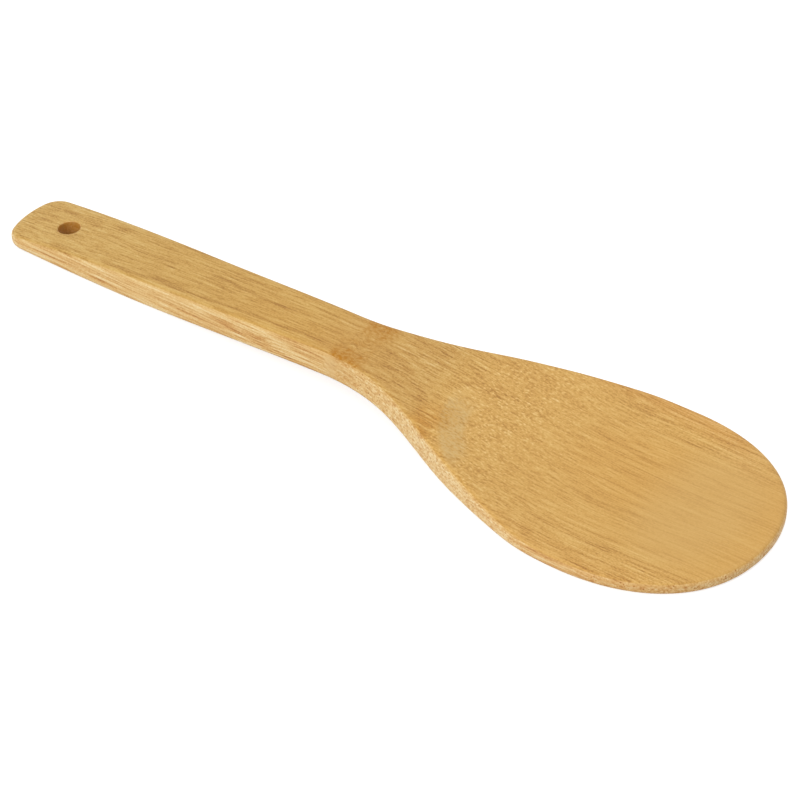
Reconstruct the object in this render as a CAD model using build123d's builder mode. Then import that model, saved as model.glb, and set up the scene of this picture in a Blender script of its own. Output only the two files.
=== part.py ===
"""Rice paddle: one strip of bamboo, bowed under the handle, sawn to outline, with its blade hollowed on top.

All sizes are in millimetres. X runs along the paddle towards the tip of the blade, Y across it, Z up.
The paddle lies on its underside, and the origin is at the middle of its footprint, on the table.
"""
import os

from build123d import *

os.makedirs("parts", exist_ok=True)

# Outline seen from above, with distances measured from the end of the handle
length = 229.0
blade_width = 67.8
tip_length = 39.3
tip_fullness = 0.609
end_width = 21.2
end_bulge = 2.5
end_corner_radius = 5.7
neck_width = 18.3
neck_distance = 104.0

# The flare from the neck to the widest place, as shares of its run and of its rise
flare_run_shares = (0.25, 0.52, 0.79)
flare_rise_shares = (0.138, 0.547, 0.899)

# Underside: it rests on a line under the heel and on the flat belly, and arches up between them
end_lift = 0.93
heel_distance = 36.0
arch_distance = 116.0
arch_height = 3.0
belly_distance = 155.1
underside_shares = (0.25, 0.5, 0.75)

# Top face outside the hollow: the strip thins towards the end, and the blade's rims fall towards the tip
end_thickness = 2.9
strip_thickness = 8.0
thinning_distance = 54.3
rim_fall_distance = 139.9
rim_end_distance = 188.3
rim_thickness = 3.4

# The hollow: a round shoulder line, a centre line that falls to the floor, and the rims left beside it
shoulder_distance = 138.8
shoulder_run = 6.0
floor_distance = 193.0
floor_thickness = 2.7
side_rim_width = 5.7
tip_rim_width = 4.0
hollow_squareness = 2.3
across_shares = (-1, -0.75, -0.5, -0.25, 0, 0.25, 0.5, 0.75, 1)

# Hang hole and eased edges
hole_diameter = 6.0
hole_distance = 15.0
hole_chamfer = 0.4
edge_radius = 1.2
edge_rim_share = 0.36

# Points along the top face, cross-sections of the hollow, and the room that cutting shapes run past the bamboo
top_count = 50
section_count = 16
overrun = 5.0

end_x = -length / 2
tip_x = length / 2
widest_x = tip_x - tip_length
neck_x = end_x + neck_distance
blank_height = arch_height + strip_thickness + overrun
hollow_end = length - tip_rim_width
hollow_middle = (shoulder_distance + hollow_end) / 2
hollow_reach = (hollow_end - shoulder_distance) / 2
hollow_half_width = blade_width / 2 - side_rim_width


def flare_points():
    """Points of the flare between the neck and the widest place, on the +Y side."""
    run = widest_x - neck_x
    rise = (blade_width - neck_width) / 2
    return [
        (neck_x + run_share * run, neck_width / 2 + rise_share * rise)
        for run_share, rise_share in zip(flare_run_shares, flare_rise_shares)
    ]


def ease(share):
    """Smooth step from 0 to 1, level at both ends."""
    share = min(max(share, 0), 1)
    return share**2 * (3 - 2 * share)


def underside(distance):
    """Height of the underside over the table."""
    lift = max(1 - distance / heel_distance, 0)
    rise = ease((distance - heel_distance) / (arch_distance - heel_distance))
    fall = ease((belly_distance - distance) / (belly_distance - arch_distance))
    return end_lift * lift**2 + arch_height * min(rise, fall)


def rim_top(distance):
    """Height of the top face outside the hollow."""
    thinning = max(1 - distance / thinning_distance, 0)
    strip = underside(distance) + strip_thickness - (strip_thickness - end_thickness) * thinning**2
    fall = ease((distance - rim_fall_distance) / (rim_end_distance - rim_fall_distance))
    return strip - (strip_thickness - rim_thickness) * fall


def hollow_depth(distance):
    """Depth under the rims that the hollow tends to at its middle: it follows the fall of the centre line."""
    least_depth = rim_thickness - floor_thickness
    if distance > hollow_middle:
        return least_depth
    distance = max(distance, shoulder_distance + shoulder_run)
    left = max((floor_distance - distance) / (floor_distance - shoulder_distance), 0)
    centre_height = floor_thickness + (rim_top(shoulder_distance) - floor_thickness) * left**2
    narrowing = 1 - abs((distance - hollow_middle) / hollow_reach) ** hollow_squareness
    return max((rim_top(distance) - centre_height) / narrowing, least_depth)


def hollow_height(distance, across):
    """Height of the hollow, which rises through the top face along a rounded, squarish oval."""
    along_part = abs((distance - hollow_middle) / hollow_reach) ** hollow_squareness
    across_part = abs(across / hollow_half_width) ** hollow_squareness
    return rim_top(distance) - hollow_depth(distance) * (1 - along_part - across_part)


def arch_points():
    """Points of the underside on both slopes of the arch, from the heel to the belly."""
    slopes = ((heel_distance, arch_distance), (arch_distance, belly_distance))
    distances = [arch_distance]
    for start, stop in slopes:
        distances += [start + share * (stop - start) for share in underside_shares]
    return [(end_x + distance, underside(distance)) for distance in sorted(distances)]


def top_points():
    """Points of the top face from beyond the tip back past the end of the handle."""
    step = (length + 2 * overrun) / (top_count - 1)
    distances = [length + overrun - number * step for number in range(top_count)]
    return [(end_x + distance, rim_top(distance)) for distance in distances]


# The wood above the hollow
reach_across = blade_width / 2 + overrun
section_step = (hollow_end - shoulder_distance + 2 * overrun) / (section_count - 1)
with BuildPart() as hollow_waste:
    for section in range(section_count):
        distance = shoulder_distance - overrun + section * section_step
        floor_points = [
            (share * reach_across, hollow_height(distance, share * reach_across))
            for share in across_shares
        ]
        with BuildSketch(Plane.YZ.offset(end_x + distance)):
            with BuildLine():
                Spline(*floor_points)
                Polyline(
                    floor_points[-1],
                    (reach_across, blank_height + overrun),
                    (-reach_across, blank_height + overrun),
                    floor_points[0],
                )
            make_face()
    loft()

with BuildPart() as paddle:
    # Outline: rounded end, straight handle sides, flare, and a tip a little fuller than an ellipse
    with BuildSketch(Plane.XY.offset(-overrun)):
        with BuildLine():
            Line((end_x + end_bulge, end_width / 2), (neck_x, neck_width / 2))
            Spline(
                (neck_x, neck_width / 2),
                *flare_points(),
                (widest_x, blade_width / 2),
                tangents=[(neck_x - end_x - end_bulge, (neck_width - end_width) / 2), (1, 0)],
            )
            Bezier(
                (widest_x, blade_width / 2),
                (widest_x + tip_fullness * tip_length, blade_width / 2),
                (tip_x, tip_fullness * blade_width / 2),
                (tip_x, 0),
            )
            mirror(about=Plane.XZ)
            ThreePointArc(
                (end_x + end_bulge, -end_width / 2),
                (end_x, 0),
                (end_x + end_bulge, end_width / 2),
            )
        make_face()
    extrude(amount=blank_height + overrun)
    end_corners = paddle.edges().filter_by(Axis.Z).group_by(Axis.X)[0]
    fillet(end_corners, radius=end_corner_radius)

    # Side view: lifted end, arch under the grip and the neck, flat belly, and the top face
    with BuildSketch(Plane.XZ.offset(-blade_width)):
        with BuildLine():
            Bezier(
                (end_x - overrun, underside(-overrun)),
                (end_x + (heel_distance - overrun) / 2, 0),
                (end_x + heel_distance, 0),
            )
            Spline(
                (end_x + heel_distance, 0),
                *arch_points(),
                (end_x + belly_distance, 0),
                tangents=[(1, 0), (1, 0)],
            )
            Polyline(
                (end_x + belly_distance, 0),
                (tip_x + overrun, 0),
                top_points()[0],
            )
            Spline(*top_points())
            Line(top_points()[-1], (end_x - overrun, underside(-overrun)))
        make_face()
    extrude(amount=2 * blade_width, mode=Mode.INTERSECT)

    # Every long edge is eased, and the hollow is cut inside the eased rims
    rims = paddle.edges().filter_by(Axis.Y, reverse=True).filter_by(Axis.Z, reverse=True)
    fillet(rims, radius=min(edge_radius, edge_rim_share * rim_thickness))
    add(hollow_waste.part, mode=Mode.SUBTRACT)

    # Hang hole through the heel, with both its mouths chamfered
    with Locations((end_x + hole_distance, 0, 0)):
        Hole(radius=hole_diameter / 2)
    hole_mouths = paddle.edges(Select.LAST).filter_by(Axis.Z, reverse=True)
    chamfer(hole_mouths, length=hole_chamfer)

paddle.part.label = "paddle"
export_step(paddle.part, "parts/paddle.step")
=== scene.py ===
"""Looks of the rice paddle: a strip of bamboo, sawn, hollowed and sanded, on a pale floor in soft light.

Everything is in metres, in the part's own frame: X along the paddle towards the tip, Y across it, Z up.
"""

import math

import bpy
import numpy as np
from mathutils import Matrix, Vector
from mathutils.geometry import delaunay_2d_cdt


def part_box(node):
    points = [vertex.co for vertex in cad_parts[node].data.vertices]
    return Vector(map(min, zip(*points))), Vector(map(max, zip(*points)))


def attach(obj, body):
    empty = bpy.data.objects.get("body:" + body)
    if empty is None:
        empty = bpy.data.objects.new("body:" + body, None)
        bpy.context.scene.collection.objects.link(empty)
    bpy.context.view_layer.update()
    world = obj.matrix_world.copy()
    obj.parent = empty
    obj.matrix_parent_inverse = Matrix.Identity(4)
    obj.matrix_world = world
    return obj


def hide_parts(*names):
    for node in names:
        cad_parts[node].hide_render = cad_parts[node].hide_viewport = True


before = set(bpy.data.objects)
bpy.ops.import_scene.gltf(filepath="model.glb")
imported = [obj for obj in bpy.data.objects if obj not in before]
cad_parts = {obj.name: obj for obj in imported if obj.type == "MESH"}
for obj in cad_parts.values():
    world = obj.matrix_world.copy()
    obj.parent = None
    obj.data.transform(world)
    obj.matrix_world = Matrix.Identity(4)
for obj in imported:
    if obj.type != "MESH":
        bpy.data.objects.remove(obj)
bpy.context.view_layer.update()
low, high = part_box("paddle")

mm = 0.001

# Outline seen from above, with distances measured from the end of the handle
length = high.x - low.x
blade_width = high.y - low.y
tip_length = 39.3 * mm
tip_fullness = 0.609
end_width = 21.2 * mm
end_bulge = 2.5 * mm
end_corner_radius = 5.7 * mm
neck_width = 18.3 * mm
neck_distance = 104.0 * mm
flare_run_shares = (0.25, 0.52, 0.79)
flare_rise_shares = (0.138, 0.547, 0.899)
widest_pull = 1.5

# Underside: it rests on a line under the heel and on the flat belly, and arches up between them
end_lift = 0.93 * mm
heel_distance = 36.0 * mm
arch_distance = 116.0 * mm
arch_height = 3.0 * mm
belly_distance = 155.1 * mm

# Top face outside the hollow: the strip thins towards the end, and the blade's rims fall towards the tip
end_thickness = 2.9 * mm
strip_thickness = 8.0 * mm
thinning_distance = 54.3 * mm
rim_fall_distance = 139.9 * mm
rim_end_distance = 188.3 * mm
rim_thickness = 3.4 * mm

# The hollow: a round shoulder line, a centre line that falls to the floor, and the rims left beside it
shoulder_distance = 138.8 * mm
shoulder_run = 6.0 * mm
floor_distance = 193.0 * mm
floor_thickness = 2.7 * mm
side_rim_width = 5.7 * mm
tip_rim_width = 4.0 * mm
hollow_squareness = 2.3
shoulder_softness = 0.14 * mm

# Hang hole and eased edges
hole_radius = 3.0 * mm
hole_distance = 15.0 * mm
hole_edge_radius = 0.45 * mm
edge_radius = 1.2 * mm

# How finely the surface is divided
outline_step = 0.8 * mm
face_step = 1.0 * mm
face_clearance = 0.6 * mm
curve_points = 200
flare_points = 60
edge_rows = 4
wall_rows = 4
hole_columns = 64

# The bamboo: places in millimetres, and tones from dark to light, for planed and for sawn faces
node_x = -3.4
joint_x = -7.5
bundle_gap = 1.35
# Centre of the pale band inside the hollow's shoulder line: partly scraped wood, partly a painted highlight
# on the slope
sheen_band_centre = (50.8, -1.0)
planed_tones = ((150, 94, 36), (186, 136, 62), (211, 163, 84), (223, 181, 104), (238, 204, 138))
sawn_tones = ((180, 116, 60), (212, 160, 92), (232, 192, 127), (244, 213, 155), (252, 232, 186))
pore_depth = 0.08 * mm

# The floor lies a hair under the paddle's flat belly, so that the two faces don't coincide
floor_drop = 0.05 * mm

# Grey of the floor, how much it glows where it is seen, and the world's level as a light
floor_grey = 0.58
floor_glow = 0.70
world_light = 0.52

end_x = -length / 2
tip_x = length / 2
widest_x = tip_x - tip_length
neck_x = end_x + neck_distance
hollow_end = length - tip_rim_width
hollow_middle = (shoulder_distance + hollow_end) / 2
hollow_reach = (hollow_end - shoulder_distance) / 2
hollow_half_width = blade_width / 2 - side_rim_width


def eased(share):
    """Smooth step from 0 to 1, level at both ends."""
    share = np.clip(share, 0, 1)
    return share**2 * (3 - 2 * share)


def soft_min(a, b, softness):
    """The lower of two heights, with the crease between them rounded."""
    gap = np.clip(1 - np.abs(a - b) / softness, 0, 1)
    return np.minimum(a, b) - softness * gap**2 / 4


def underside(x):
    distance = x - end_x
    lift = np.clip(1 - distance / heel_distance, 0, None)
    rise = eased((distance - heel_distance) / (arch_distance - heel_distance))
    fall = eased((belly_distance - distance) / (belly_distance - arch_distance))
    return end_lift * lift**2 + arch_height * np.minimum(rise, fall)


def rim_height(x):
    """Height of the top face outside the hollow."""
    distance = x - end_x
    thinning = np.clip(1 - distance / thinning_distance, 0, None)
    strip = underside(x) + strip_thickness - (strip_thickness - end_thickness) * thinning**2
    fall = eased((distance - rim_fall_distance) / (rim_end_distance - rim_fall_distance))
    return strip - (strip_thickness - rim_thickness) * fall


def hollow_depth(x):
    """Depth under the rims that the hollow tends to at its middle: it follows the fall of the centre line."""
    distance = np.clip(x - end_x, shoulder_distance + shoulder_run, None)
    left = np.clip((floor_distance - distance) / (floor_distance - shoulder_distance), 0, None)
    shoulder_height = rim_height(end_x + shoulder_distance)
    centre_height = floor_thickness + (shoulder_height - floor_thickness) * left**2
    place = np.clip((distance - hollow_middle) / hollow_reach, -1, 0)
    depth = (rim_height(end_x + distance) - centre_height) / (1 - np.abs(place) ** hollow_squareness)
    least_depth = rim_thickness - floor_thickness
    return np.where(distance > hollow_middle, least_depth, np.maximum(depth, least_depth))


def top_face(x, y):
    """Height of the top face. The hollow rises through it along a rounded, squarish oval."""
    along_part = np.abs((x - end_x - hollow_middle) / hollow_reach) ** hollow_squareness
    across_part = np.abs(y / hollow_half_width) ** hollow_squareness
    hollow = rim_height(x) - hollow_depth(x) * (1 - along_part - across_part)
    return soft_min(rim_height(x), hollow, shoulder_softness)


def spline(points, start_slope, end_slope, count):
    """Points along a smooth cubic through the given points, with the given directions at its ends."""
    points = np.array(points, float)
    steps = np.linalg.norm(np.diff(points, axis=0), axis=1)
    last = len(points) - 1
    matrix, wanted = np.eye(len(points)), np.zeros_like(points)
    wanted[0], wanted[last] = start_slope, end_slope
    for i in range(1, last):
        before, after = steps[i - 1], steps[i]
        matrix[i, i - 1 : i + 2] = 1 / before, 2 / before + 2 / after, 1 / after
        wanted[i] = 3 * (points[i] - points[i - 1]) / before**2 + 3 * (points[i + 1] - points[i]) / after**2
    slopes = np.linalg.solve(matrix, wanted)
    made = []
    for i, step in enumerate(steps):
        t = np.linspace(0, 1, count, endpoint=False)[:, None]
        made.append(
            (1 + 2 * t) * (1 - t) ** 2 * points[i]
            + t * (1 - t) ** 2 * step * slopes[i]
            + t**2 * (3 - 2 * t) * points[i + 1]
            + t**2 * (t - 1) * step * slopes[i + 1]
        )
    return np.vstack(made)


def arc(centre, radius, start, stop):
    """Points on an arc, without its last."""
    angles = np.linspace(start, stop, curve_points, endpoint=False)
    return np.array(centre) + radius * np.stack([np.cos(angles), np.sin(angles)], 1)


def half_outline():
    """Fine points of the outline on the +Y side, from the tip to the middle of the handle's end."""
    corner = np.array([end_x + end_bulge, end_width / 2])
    neck = np.array([neck_x, neck_width / 2])
    side = (neck - corner) / np.linalg.norm(neck - corner)
    inward = np.array([side[1], -side[0]])

    # The tip is one cubic curve each side, a little fuller than an ellipse
    t = np.linspace(0, 1, curve_points, endpoint=False)
    shares = ((1 - t) ** 3, 3 * t * (1 - t) ** 2, 3 * t**2 * (1 - t), t**3)
    along = shares[0] + shares[1] + tip_fullness * shares[2]
    across = tip_fullness * shares[1] + shares[2] + shares[3]
    tip = np.stack([widest_x + tip_length * along, blade_width / 2 * across], 1)

    run, rise = widest_x - neck_x, (blade_width - neck_width) / 2
    middle = [neck + (a * run, b * rise) for a, b in zip(flare_run_shares, flare_rise_shares)]
    widest = (widest_x, blade_width / 2)
    flare = spline([neck, *middle, widest], side, (widest_pull, 0), flare_points)[::-1]

    # The end is an arc, and the round of each corner touches it and the straight side
    end_radius = end_width**2 / (8 * end_bulge) + end_bulge / 2
    end_centre = np.array([end_x + end_radius, 0])
    start = corner + inward * end_corner_radius - end_centre
    shift = start @ side
    reach = start @ start - (end_radius - end_corner_radius) ** 2
    centre = end_centre + start - side * (shift + math.sqrt(shift**2 - reach))
    to_end = math.atan2(centre[1], centre[0] - end_centre[0])
    side_angle = math.atan2(-inward[1], -inward[0])
    round_corner = arc(centre, end_corner_radius, side_angle, to_end)
    end = arc(end_centre, end_radius, to_end, math.pi)
    return np.vstack([tip, flare, round_corner, end, [(end_x, 0)]])


def outline():
    """Even points round the outline, clockwise from above, and the directions that point into the wood."""
    half = half_outline()
    lengths = np.r_[0, np.cumsum(np.linalg.norm(np.diff(half, axis=0), axis=1))]
    count = round(lengths[-1] / outline_step)
    at = np.linspace(0, lengths[-1], count + 1)
    half = np.stack([np.interp(at, lengths, half[:, i]) for i in (0, 1)], 1)
    points = np.vstack([half, half[-2:0:-1] * (1, -1)])
    along = np.roll(points, -1, 0) - np.roll(points, 1, 0)
    along /= np.linalg.norm(along, axis=1)[:, None]
    return points[::-1], np.stack([-along[:, 1], along[:, 0]], 1)[::-1]


def hole_loop():
    """Even points round the hang hole, anticlockwise from above, and the directions into the wood."""
    angles = np.linspace(0, 2 * math.pi, hole_columns, endpoint=False)
    directions = np.stack([np.cos(angles), np.sin(angles)], 1)
    return np.array([end_x + hole_distance, 0]) + directions * hole_radius, directions


def wall(points, into_wood, radius):
    """Rows of vertices down an edge: round its eased top, down the wall, and round its eased bottom."""
    turns = np.linspace(math.pi / 2, 0, edge_rows + 1)
    rows = []
    for turn in turns:
        at = points + into_wood * radius * (1 - math.cos(turn))
        rows.append(np.c_[at, top_face(at[:, 0], at[:, 1]) - radius * (1 - math.sin(turn))])
    bottom_rows = []
    for turn in turns[::-1]:
        at = points + into_wood * radius * (1 - math.cos(turn))
        bottom_rows.append(np.c_[at, underside(at[:, 0]) + radius * (1 - math.sin(turn))])
    for row in range(1, wall_rows):
        share = row / wall_rows
        rows.append(rows[edge_rows] * (1 - share) + bottom_rows[0] * share)
    return np.array(rows + bottom_rows)


def inside(points, loop):
    """Which points lie inside a closed loop."""
    found = np.zeros(len(points), bool)
    for (ax, ay), (bx, by) in zip(loop, np.roll(loop, -1, 0)):
        if ay == by:
            continue
        crosses = (points[:, 1] < ay) != (points[:, 1] < by)
        x = ax + (points[:, 1] - ay) * (bx - ax) / (by - ay)
        found ^= crosses & (points[:, 0] < x)
    return found


def clear_of(points, loop, distance):
    """Which points are farther than distance from every point of a loop."""
    gaps = np.linalg.norm(points[:, None] - loop[None], axis=2)
    return gaps.min(1) > distance


def face_points(outer, hole):
    """A staggered grid of points over the flat of the paddle, inside the outer loop and outside the hole."""
    row_step = face_step * math.sqrt(3) / 2
    rows = np.arange(-blade_width / 2, blade_width / 2, row_step)
    found = []
    for number, y in enumerate(rows):
        x = np.arange(end_x + face_step / 2 * (number % 2), tip_x, face_step)
        found.append(np.stack([x, np.full_like(x, y)], 1))
    grid = np.vstack(found)
    grid = grid[inside(grid, outer) & ~inside(grid, hole)]
    return grid[clear_of(grid, np.vstack([outer, hole]), face_clearance)]


def paddle_mesh():
    """The surface: walls as rows of quads, top and underside as one triangulation seen from above."""
    walls = [wall(*outline(), edge_radius), wall(*hole_loop(), hole_edge_radius)]
    vertices, faces, starts = [], [], []
    for rows in walls:
        start, count = sum(len(v) for v in vertices), rows.shape[1]
        starts.append((start, start + (len(rows) - 1) * count, count))
        vertices.append(rows.reshape(-1, 3))
        for row in range(len(rows) - 1):
            for column in range(count):
                here = start + row * count
                after = (column + 1) % count
                faces.append((here + column, here + after, here + count + after, here + count + column))

    loops = [rows[0, :, :2] for rows in walls]
    grid = face_points(*loops)
    flat = np.vstack([*loops, grid])
    ring_edges, first = [], 0
    for loop in loops:
        ring_edges += [(first + i, first + (i + 1) % len(loop)) for i in range(len(loop))]
        first += len(loop)
    found = delaunay_2d_cdt([Vector(p) for p in flat], ring_edges, [], 1, 1e-7, True)
    places, triangles, origins = np.array(found[0]), np.array(found[2]), found[3]
    middles = places[triangles].mean(1)
    triangles = triangles[inside(middles, loops[0]) & ~inside(middles, loops[1])]
    edge_count = first
    top_start = sum(len(v) for v in vertices)
    for height in (top_face(grid[:, 0], grid[:, 1]), underside(grid[:, 0])):
        vertices.append(np.c_[grid, height])

    def index(origin, is_top):
        if origin >= edge_count:
            return top_start + (0 if is_top else len(grid)) + origin - edge_count
        for top_ring, bottom_ring, count in starts:
            if origin < count:
                return (top_ring if is_top else bottom_ring) + origin
            origin -= count

    for corners in triangles:
        names = [origins[c][0] for c in corners]
        faces.append([index(n, True) for n in names])
        faces.append([index(n, False) for n in reversed(names)])

    mesh = bpy.data.meshes.new("bamboo_paddle")
    mesh.from_pydata(np.vstack(vertices).tolist(), [], faces)
    mesh.polygons.foreach_set("use_smooth", [True] * len(mesh.polygons))
    mesh.update()
    return mesh


def tone(red, green, blue):
    """A linear colour from the 0 to 255 numbers that a picture shows."""
    shares = [c / 255 for c in (red, green, blue)]
    return [c / 12.92 if c <= 0.04045 else ((c + 0.055) / 1.055) ** 2.4 for c in shares] + [1.0]


class Shader:
    """Adds nodes to one material and joins them. A value is a socket, a number or a vector."""

    def __init__(self, name):
        self.material = bpy.data.materials.new(name)
        self.material.use_nodes = True
        self.tree = self.material.node_tree
        self.surface = self.tree.nodes["Principled BSDF"]

    def put(self, value, socket):
        if isinstance(value, bpy.types.NodeSocket):
            self.tree.links.new(value, socket)
        else:
            socket.default_value = value

    def add(self, kind, inputs, output=0, **settings):
        node = self.tree.nodes.new(kind)
        for name, value in settings.items():
            setattr(node, name, value)
        for name, value in inputs.items():
            self.put(value, node.inputs[name])
        return node.outputs[output]

    def math(self, operation, *values):
        return self.add("ShaderNodeMath", dict(enumerate(values)), operation=operation)

    def times(self, a, b):
        return self.math("MULTIPLY", a, b)

    def plus(self, a, b):
        return self.math("ADD", a, b)

    def minus(self, a, b):
        return self.math("SUBTRACT", a, b)

    def greatest(self, a, b):
        return self.math("MAXIMUM", a, b)

    def absolute(self, value):
        return self.math("ABSOLUTE", value)

    def total(self, *values):
        """The sum of all the values."""
        added = values[0]
        for value in values[1:]:
            added = self.plus(added, value)
        return added

    def distance(self, a, b):
        """Length of the step that runs a one way and b square to it."""
        squares = [self.math("POWER", part, 2.0) for part in (a, b)]
        return self.math("SQRT", self.plus(*squares))

    def split(self, vector):
        node = self.tree.nodes.new("ShaderNodeSeparateXYZ")
        self.put(vector, node.inputs[0])
        return node.outputs

    def vector(self, x, y, z):
        return self.add("ShaderNodeCombineXYZ", {"X": x, "Y": y, "Z": z})

    def noise(self, vector, detail, roughness=0.5):
        inputs = {"Vector": vector, "Scale": 1.0, "Detail": detail, "Roughness": roughness}
        return self.add("ShaderNodeTexNoise", inputs)

    def cells(self, vector, scale, randomness):
        """Distance from the middle of the nearest cell."""
        inputs = {"Vector": vector, "Scale": scale, "Randomness": randomness}
        return self.add("ShaderNodeTexVoronoi", inputs, "Distance")

    def swing(self, noise, amount):
        """A noise's swing about its middle, made amount times as large."""
        return self.times(self.minus(noise, 0.5), amount)

    def band(self, value, low, high, to_low=0.0, to_high=1.0):
        """As value goes from low to high, goes smoothly from to_low to to_high."""
        inputs = {"Value": value, "From Min": low, "From Max": high, "To Min": to_low, "To Max": to_high}
        return self.add("ShaderNodeMapRange", inputs, interpolation_type="SMOOTHSTEP")

    def blend(self, share, at_none, at_full):
        """Goes smoothly from at_none to at_full with a share."""
        return self.band(share, 0.0, 1.0, at_none, at_full)

    def window(self, value, start, full, fading, end):
        """1 between full and fading, falling smoothly to 0 at start and at end."""
        return self.times(self.band(value, start, full), self.band(value, fading, end, 1.0, 0.0))

    def near(self, value, full, end):
        """1 where a value is within full of 0, falling smoothly to 0 where it is end away."""
        return self.band(self.absolute(value), full, end, 1.0, 0.0)

    def mix(self, share, a, b, blend="MIX"):
        node = self.tree.nodes.new("ShaderNodeMix")
        node.data_type = "RGBA"
        node.blend_type = blend
        for socket, value in ((0, share), (6, a), (7, b)):
            self.put(value, node.inputs[socket])
        return node.outputs[2]

    def tint(self, share, base, factors):
        """Multiplies the base colour by factors for red, green and blue."""
        return self.mix(share, base, (*factors, 1.0), "MULTIPLY")

    def paint(self, share, base, colour):
        """Lays a colour over the base, given as a picture's 0 to 255 numbers."""
        return self.mix(share, base, tone(*colour))

    def tones(self, level, colours):
        """Runs through the colours, dark to light, as level goes from 0 to 1."""
        node = self.tree.nodes.new("ShaderNodeValToRGB")
        stops = node.color_ramp.elements
        while len(stops) < len(colours):
            stops.new(0.5)
        for i, colour in enumerate(colours):
            stops[i].position = i / (len(colours) - 1)
            stops[i].color = tone(*colour)
        self.put(level, node.inputs[0])
        return node.outputs[0]


class Bamboo(Shader):
    """Solid bamboo: fibre bundles run through it as columns, so level cuts show streaks, slanting cuts dots.

    Places are in millimetres in the paddle's own frame, and noises are given in waves per millimetre.
    """

    def __init__(self):
        super().__init__("bamboo")
        place = self.add("ShaderNodeTexCoord", {}, "Object")
        in_mm = self.add("ShaderNodeVectorMath", {0: place, "Scale": 1 / mm}, operation="SCALE")
        self.x, self.y, self.z = self.split(in_mm)

        # Which faces are sides, and which of those cut across the fibres
        along_normal, _, up_normal = self.split(self.add("ShaderNodeNewGeometry", {}, "True Normal"))
        self.side = self.band(self.absolute(up_normal), 0.35, 0.85, 1.0, 0.0)
        self.top = self.minus(1.0, self.side)
        self.sliced = self.times(self.side, self.band(self.absolute(along_normal), 0.03, 0.24))

        self.lay_fibres()
        self.beads = self.noise(self.fibre_place(1.2, 1.9, 0.6), 1.0)
        self.scraped_sheen = self.scraped_sheen_band()
        self.colour(self.mark(self.level()))
        self.relief()

    def speckle(self, waves, detail, roughness=0.5):
        """Noise with so many waves along x, y and z."""
        x, y, z = (self.times(axis, count) for axis, count in zip((self.x, self.y, self.z), waves))
        return self.noise(self.vector(x, y, z), detail, roughness)

    def fibre_place(self, along, across, across_z=None):
        """Place for a noise or for cells, with the fibres' own wander across them."""
        return self.vector(
            self.times(self.x, along),
            self.times(self.fibre_y, across),
            self.times(self.fibre_z, across if across_z is None else across_z),
        )

    def strands(self, along, across, detail, shift, roughness=0.5):
        """Noise drawn out along the fibres."""
        where = self.vector(
            self.plus(self.times(self.x, along), shift),
            self.times(self.fibre_y, across),
            self.times(self.fibre_z, across),
        )
        return self.noise(where, detail, roughness)

    def patch(self, centre, reach, softness):
        """1 inside an oval with such reaches along and across, falling softly to 0 outside it."""
        along = self.times(self.minus(self.x, centre[0]), 1 / reach[0])
        across = self.times(self.minus(self.y, centre[1]), 1 / reach[1])
        from_centre = self.plus(self.times(along, along), self.times(across, across))
        return self.band(from_centre, 1 - softness, 1 + softness, 1.0, 0.0)

    def lay_fibres(self):
        """The culm's node across the neck, and the fibres, which wander a little and swirl at the node."""
        wobble = self.swing(self.speckle((0.18, 0.22, 0.22), 2.0), 7.0)
        from_node = self.total(self.minus(self.x, node_x), self.times(self.y, -0.05), wobble)
        self.node_band = self.near(from_node, 1.5, 6.5)

        swirl = self.times(self.swing(self.speckle((0.22, 0.2, 0.2), 1.0), 5.0), self.node_band)
        wander_y = self.speckle((0.018, 0.05, 0.05), 2.0)
        apart = self.plus(self.times(self.x, 0.018), 31.0)
        wander_z = self.noise(self.vector(apart, self.times(self.y, 0.05), self.times(self.z, 0.05)), 2.0)
        self.fibre_y = self.total(self.y, self.swing(wander_y, 3.0), swirl)
        self.fibre_z = self.total(self.z, self.swing(wander_z, 3.0), swirl)

        # Fine and thin strands, and bundles that are each a dark core in a pale ring
        self.fine = self.strands(0.09, 2.1, 1.0, 0.0)
        self.thin = self.strands(0.04, 0.95, 2.0, 11.0)
        squeeze = self.plus(0.022, self.times(self.node_band, 0.12))
        bundle = self.cells(self.fibre_place(squeeze, 1.0), 1 / bundle_gap, 0.85)
        self.core = self.band(bundle, 0.14, 0.32, 1.0, 0.0)
        self.halo = self.band(bundle, 0.28, 0.58, 1.0, 0.0)

    def streaks(self):
        """How the strands, bands, flecks and bundles lighten and darken the wood."""
        broad = self.strands(0.012, 0.24, 2.0, 23.0, 0.55)
        grain = self.speckle((1.8, 2.6, 2.6), 1.0)
        fleck = self.band(self.cells(self.fibre_place(0.42, 2.4), 1.0, 1.0), 0.10, 0.42, 1.0, 0.0)
        grouped = self.band(self.strands(0.06, 0.5, 2.0, 47.0), 0.36, 0.62, 0.35, 1.0)
        thin = self.swing(self.thin, self.blend(self.side, 0.45, 0.65))
        return self.total(
            self.swing(self.fine, self.blend(self.side, 0.80, 1.15)),
            self.times(thin, self.blend(self.sliced, 1.0, 0.45)),
            self.swing(broad, self.blend(self.side, 0.35, 0.20)),
            self.swing(grain, 0.62),
            self.times(self.times(fleck, grouped), -0.10),
            self.times(self.core, -0.12),
            self.times(self.halo, 0.06),
        )

    def plainness(self, bead_share):
        """How much the streaks fade towards the tip. Below 0, at rims, neck and handle end, they grow."""
        first_fade = self.band(self.x, 40.0, 60.0, 0.0, 0.18)
        second_fade = self.band(self.x, 62.0, 94.0, 0.0, 0.40)
        across_share = self.times(self.absolute(self.y), 2 * mm / blade_width)
        inside_rims = self.band(across_share, 0.45, 0.80, 1.0, -0.40)
        plain = self.times(self.plus(first_fade, second_fade), inside_rims)
        plain = self.plus(plain, self.times(bead_share, 0.35))
        plain = self.plus(plain, self.band(self.x, -95.0, -70.0, -0.20, 0.0))
        plain = self.minus(plain, self.times(self.window(self.x, 0.0, 8.0, 24.0, 34.0), 0.30))
        return self.times(plain, self.blend(self.side, 1.0, 0.0))

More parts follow.
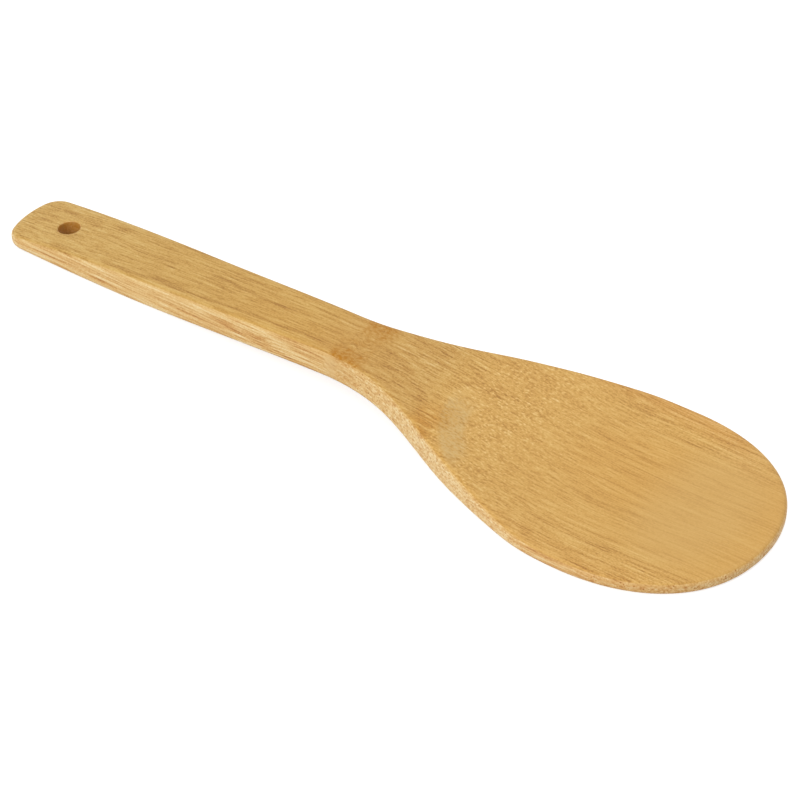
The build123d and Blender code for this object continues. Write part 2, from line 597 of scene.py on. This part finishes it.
    def level(self):
        """From 0, dark, to 1, light: streaks, beads where the hollow slopes, dots on faces sawn across."""
        bead_share = self.times(self.window(self.x, 25.0, 31.0, 38.0, 68.0), self.blend(self.side, 1.0, 0.0))
        beads = self.plus(self.swing(self.beads, 0.68), self.band(self.beads, 0.54, 0.72, 0.0, 0.20))

        dot = self.cells(self.fibre_place(1.35, 1.0), 1 / bundle_gap, 0.8)
        dot_core = self.times(self.band(dot, 0.10, 0.34, 1.0, 0.0), self.sliced)
        dot_ring = self.times(self.band(dot, 0.34, 0.62, 1.0, 0.0), self.sliced)

        # The grip's sides have clearer streaks towards the neck, and a lighter stretch before them
        grip_side = self.times(self.side, self.window(self.x, -48.0, -36.0, -16.0, -8.0))
        light_side = self.times(self.side, self.window(self.x, -72.0, -65.0, -60.0, -53.0))
        return self.total(
            0.5,
            self.times(self.streaks(), self.minus(1.0, self.plainness(bead_share))),
            self.times(self.plus(self.swing(self.fine, 0.8), self.swing(self.thin, 0.4)), grip_side),
            self.times(light_side, 0.11),
            self.times(beads, bead_share),
            self.times(dot_core, -0.54),
            self.times(dot_ring, 0.24),
        )

    def mark(self, level):
        """Darkens two long strands on the handle, and rough spots on the far side of the hollow."""
        near_edge = self.minus(self.y, self.plus(-5.0, self.times(self.x, 0.0405)))
        along = self.plus(self.x, 40.8)
        bend = self.times(self.times(along, along), 0.0014)
        middle = self.minus(self.y, self.total(1.55, self.times(along, -0.084), bend))
        for from_strand, first, last in ((near_edge, -92.0, -8.0), (middle, -58.0, -21.0)):
            ends = self.window(self.x, first - 3, first + 9, last - 9, last + 3)
            depth = self.band(self.thin, 0.3, 0.7, 0.20, 0.14)
            level = self.minus(level, self.times(self.times(self.near(from_strand, 0.1, 0.9), ends), depth))

        specks = self.band(self.speckle((1.2, 2.2, 1.0), 1.0), 0.46, 0.66)
        spots = self.times(self.patch((34.0, 9.0), (12.0, 9.0), 0.8), specks)
        return self.minus(level, self.times(spots, 0.10))

    def colour(self, level):
        """The wood's colour: two runs of tones, for planed and for sawn faces, then what lies over them."""
        base = self.mix(self.side, self.tones(level, planed_tones), self.tones(level, sawn_tones))
        for change in (self.tone_grip, self.tone_blade, self.paint_scraped_sheen, self.smudge, self.darken_hole):
            base = change(base)
        self.put(base, self.surface.inputs["Base Color"])

    def tone_grip(self, base):
        """Makes the grip and the neck a shade darker than the blade, and the grip golden before the node."""
        along_grip = self.band(self.x, -95.0, -20.0)
        face_tone = self.mix(along_grip, (0.93, 0.98, 1.04, 1.0), (0.92, 0.93, 0.90, 1.0))
        side_tone = self.mix(along_grip, (0.96, 0.93, 0.86, 1.0), (0.96, 0.92, 0.83, 1.0))
        grip_tone = self.mix(self.side, face_tone, side_tone)
        base = self.mix(self.band(self.x, 14.0, 30.0, 1.0, 0.0), base, grip_tone, "MULTIPLY")

        neck = self.window(self.x, -18.0, -9.0, 14.0, 26.0)
        base = self.tint(self.times(neck, self.top), base, (0.96, 0.93, 0.93))
        near_half = self.band(self.y, -3.0, 4.0, 1.0, 0.2)
        golden = self.times(near_half, self.window(self.x, -55.0, -25.0, -8.0, 2.0))
        return self.tint(self.times(golden, self.top), base, (0.99, 0.96, 0.88))

    def tone_blade(self, base):
        """Makes the rims more orange and the sawn edge deeper, and lays a matte and a warm patch."""
        past_widest = self.times(self.minus(self.x, widest_x / mm), mm / tip_length)
        from_middle = self.distance(self.greatest(past_widest, 0.0), self.times(self.y, 2 * mm / blade_width))
        skin = self.times(self.band(from_middle, 0.72, 0.98), self.band(self.x, 30.0, 60.0, 0.5, 1.0))
        across = self.band(self.y, -20.0, 20.0, 0.24, 0.95)
        skin = self.times(skin, self.times(across, self.band(self.x, 80.0, 106.0, 1.0, 0.15)))
        base = self.tint(skin, base, (0.95, 0.84, 0.74))

        along_edge = self.times(self.band(self.x, 60.0, 95.0), self.band(self.x, 98.0, 109.0, 1.0, 0.65))
        base = self.tint(self.times(self.side, along_edge), base, (0.88, 0.76, 0.60))
        matte = self.patch((94.0, 4.0), (13.0, 22.0), 0.9)
        base = self.paint(self.times(matte, 0.18), base, (208, 174, 114))
        warm = self.patch((72.0, 5.0), (14.0, 13.0), 0.9)
        return self.tint(self.times(warm, self.top), base, (0.99, 0.96, 0.90))

    def scraped_sheen_band(self):
        """1 in a band inside the near half of the hollow's shoulder line, and 0 away from it."""
        along = self.minus(self.x, sheen_band_centre[0])
        across = self.minus(self.y, sheen_band_centre[1])
        ring = self.window(self.distance(along, across), 18.0, 20.5, 25.0, 26.5)
        near_half = self.band(self.y, -7.0, 2.0, 1.0, 0.0)
        return self.times(ring, self.times(near_half, self.band(self.x, 36.0, 41.0, 1.0, 0.0)))

    def paint_scraped_sheen(self, base):
        """Makes the scraped band pale, most where its beads are light: partly the wood's matte scraped
        colour, partly a painted highlight on the shoulder slope that faces the tip.
        """
        through_beads = self.band(self.beads, 0.35, 0.65, 0.20, 0.75)
        return self.paint(self.times(self.scraped_sheen, through_beads), base, (210, 177, 118))

    def smudge(self, base):
        """Lays brown smudges at the node, a golden one before the hollow, and a pale line on the sides."""
        blotch = self.band(self.speckle((0.35, 0.4, 0.3), 3.0, 0.6), 0.42, 0.62)
        beside_edges = self.band(self.absolute(self.plus(self.y, 0.6)), 2.5, 6.5, 0.0, 0.55)
        brown = self.times(self.node_band, self.plus(self.times(blotch, 0.35), beside_edges))
        pits = self.speckle((0.9, 1.3, 1.0), 2.0)
        brown = self.times(brown, self.band(pits, 0.38, 0.60, 1.4, 0.45))
        base = self.paint(self.times(brown, self.blend(self.side, 1.0, 0.2)), base, (180, 118, 10))

        golden = self.patch((26.0, -13.5), (4.5, 6.5), 0.9)
        golden = self.times(golden, self.band(self.thin, 0.40, 0.60, 1.0, 0.4))
        base = self.tint(self.times(golden, self.top), base, (0.90, 0.77, 0.50))
        pale_line = self.times(self.side, self.near(self.minus(self.x, joint_x), 0.5, 3.0))
        return self.paint(self.times(pale_line, 0.5), base, (232, 196, 134))

    def darken_hole(self, base):
        """Makes the wall of the hang hole darker than the faces."""
        from_hole = self.distance(self.minus(self.x, (end_x + hole_distance) / mm), self.y)
        hole_mm = hole_radius / mm
        return self.paint(self.band(from_hole, hole_mm, hole_mm + 0.15, 0.8, 0.0), base, (184, 122, 16))

    def relief(self):
        """Satin gloss that the scraping dulls, and pores a few hundredths of a millimetre deep."""
        rough = self.plus(self.band(self.fine, 0.2, 0.8, 0.58, 0.48), self.times(self.scraped_sheen, 0.15))
        self.put(rough, self.surface.inputs["Roughness"])
        height = self.plus(self.times(self.core, -0.5), self.times(self.fine, 0.6))
        bump = self.add("ShaderNodeBump", {"Strength": 0.35, "Distance": pore_depth, "Height": height})
        self.put(bump, self.surface.inputs["Normal"])
        self.put(1.45, self.surface.inputs["IOR"])


def pale_floor():
    """A wide floor that looks white and still keeps the paddle's shadow."""
    mesh = bpy.data.meshes.new("floor")
    reach = 20 * length
    corners = [(-reach, -reach), (reach, -reach), (reach, reach), (-reach, reach)]
    mesh.from_pydata([(x, y, -floor_drop) for x, y in corners], [], [(0, 1, 2, 3)])
    floor = bpy.data.objects.new("floor", mesh)
    bpy.context.scene.collection.objects.link(floor)

    s = Shader("floor")
    s.put((floor_grey, floor_grey, floor_grey, 1), s.surface.inputs["Base Color"])
    s.put(0.9, s.surface.inputs["Roughness"])
    rays = s.tree.nodes.new("ShaderNodeLightPath").outputs
    seen = s.greatest(rays["Is Camera Ray"], rays["Is Glossy Ray"])
    seen = s.greatest(seen, rays["Is Transmission Ray"])
    s.put((1, 1, 1, 1), s.surface.inputs["Emission Color"])
    s.put(s.times(seen, floor_glow), s.surface.inputs["Emission Strength"])
    mesh.materials.append(s.material)


def pale_world():
    """A world that is white where it is seen, and dimmer as a light."""
    world = bpy.data.worlds.new("world")
    world.use_nodes = True
    bpy.context.scene.world = world
    tree = world.node_tree
    back = tree.nodes["Background"]
    back.inputs["Color"].default_value = (1, 1, 1, 1)
    rays = tree.nodes.new("ShaderNodeLightPath").outputs
    seen = rays["Is Camera Ray"]
    for ray in ("Is Glossy Ray", "Is Transmission Ray"):
        either = tree.nodes.new("ShaderNodeMath")
        either.operation = "MAXIMUM"
        tree.links.new(seen, either.inputs[0])
        tree.links.new(rays[ray], either.inputs[1])
        seen = either.outputs[0]
    level = tree.nodes.new("ShaderNodeMapRange")
    tree.links.new(seen, level.inputs["Value"])
    level.inputs["To Min"].default_value = world_light
    level.inputs["To Max"].default_value = 1.0
    tree.links.new(level.outputs[0], back.inputs["Strength"])


def soft_lamp(name, place, size, power):
    """A round lamp that shines on the middle of the paddle."""
    light = bpy.data.lights.new(name, "AREA")
    light.shape = "DISK"
    light.size = size
    light.energy = power
    lamp = bpy.data.objects.new(name, light)
    lamp.location = place
    lamp.rotation_euler = (-Vector(place)).to_track_quat("-Z", "Y").to_euler()
    bpy.context.scene.collection.objects.link(lamp)


def camera():
    """The photograph's view: from the front right, well above the table, through a long lens."""
    azimuth, elevation, roll = map(math.radians, (34.217, 39.186, 0.922))
    aim = Vector((9.43, -2.60, 0)) * mm
    distance = 852.9 * mm
    back = Vector((
        math.sin(azimuth) * math.cos(elevation),
        -math.cos(azimuth) * math.cos(elevation),
        math.sin(elevation),
    ))
    data = bpy.data.cameras.new("camera")
    data.sensor_width = 36.0
    data.lens = 152.19
    data.clip_start, data.clip_end = 0.01, 100
    eye = bpy.data.objects.new("camera", data)
    eye.location = aim + back * distance
    turn = (-back).to_track_quat("-Z", "Y").to_matrix().to_4x4()
    eye.rotation_euler = (turn @ Matrix.Rotation(roll, 4, "Z")).to_euler()
    bpy.context.scene.collection.objects.link(eye)
    bpy.context.scene.camera = eye


paddle = bpy.data.objects.new("bamboo_paddle", paddle_mesh())
bpy.context.scene.collection.objects.link(paddle)
paddle.data.materials.append(Bamboo().material)
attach(paddle, "root")
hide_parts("paddle")

pale_floor()
pale_world()
soft_lamp("key", place=(-0.2, -1.2, 0.9), size=0.9, power=10.2)
soft_lamp("top", place=(0.2, 0.5, 1.4), size=1.2, power=6.0)
camera()
bpy.context.scene.view_settings.view_transform = "Standard"
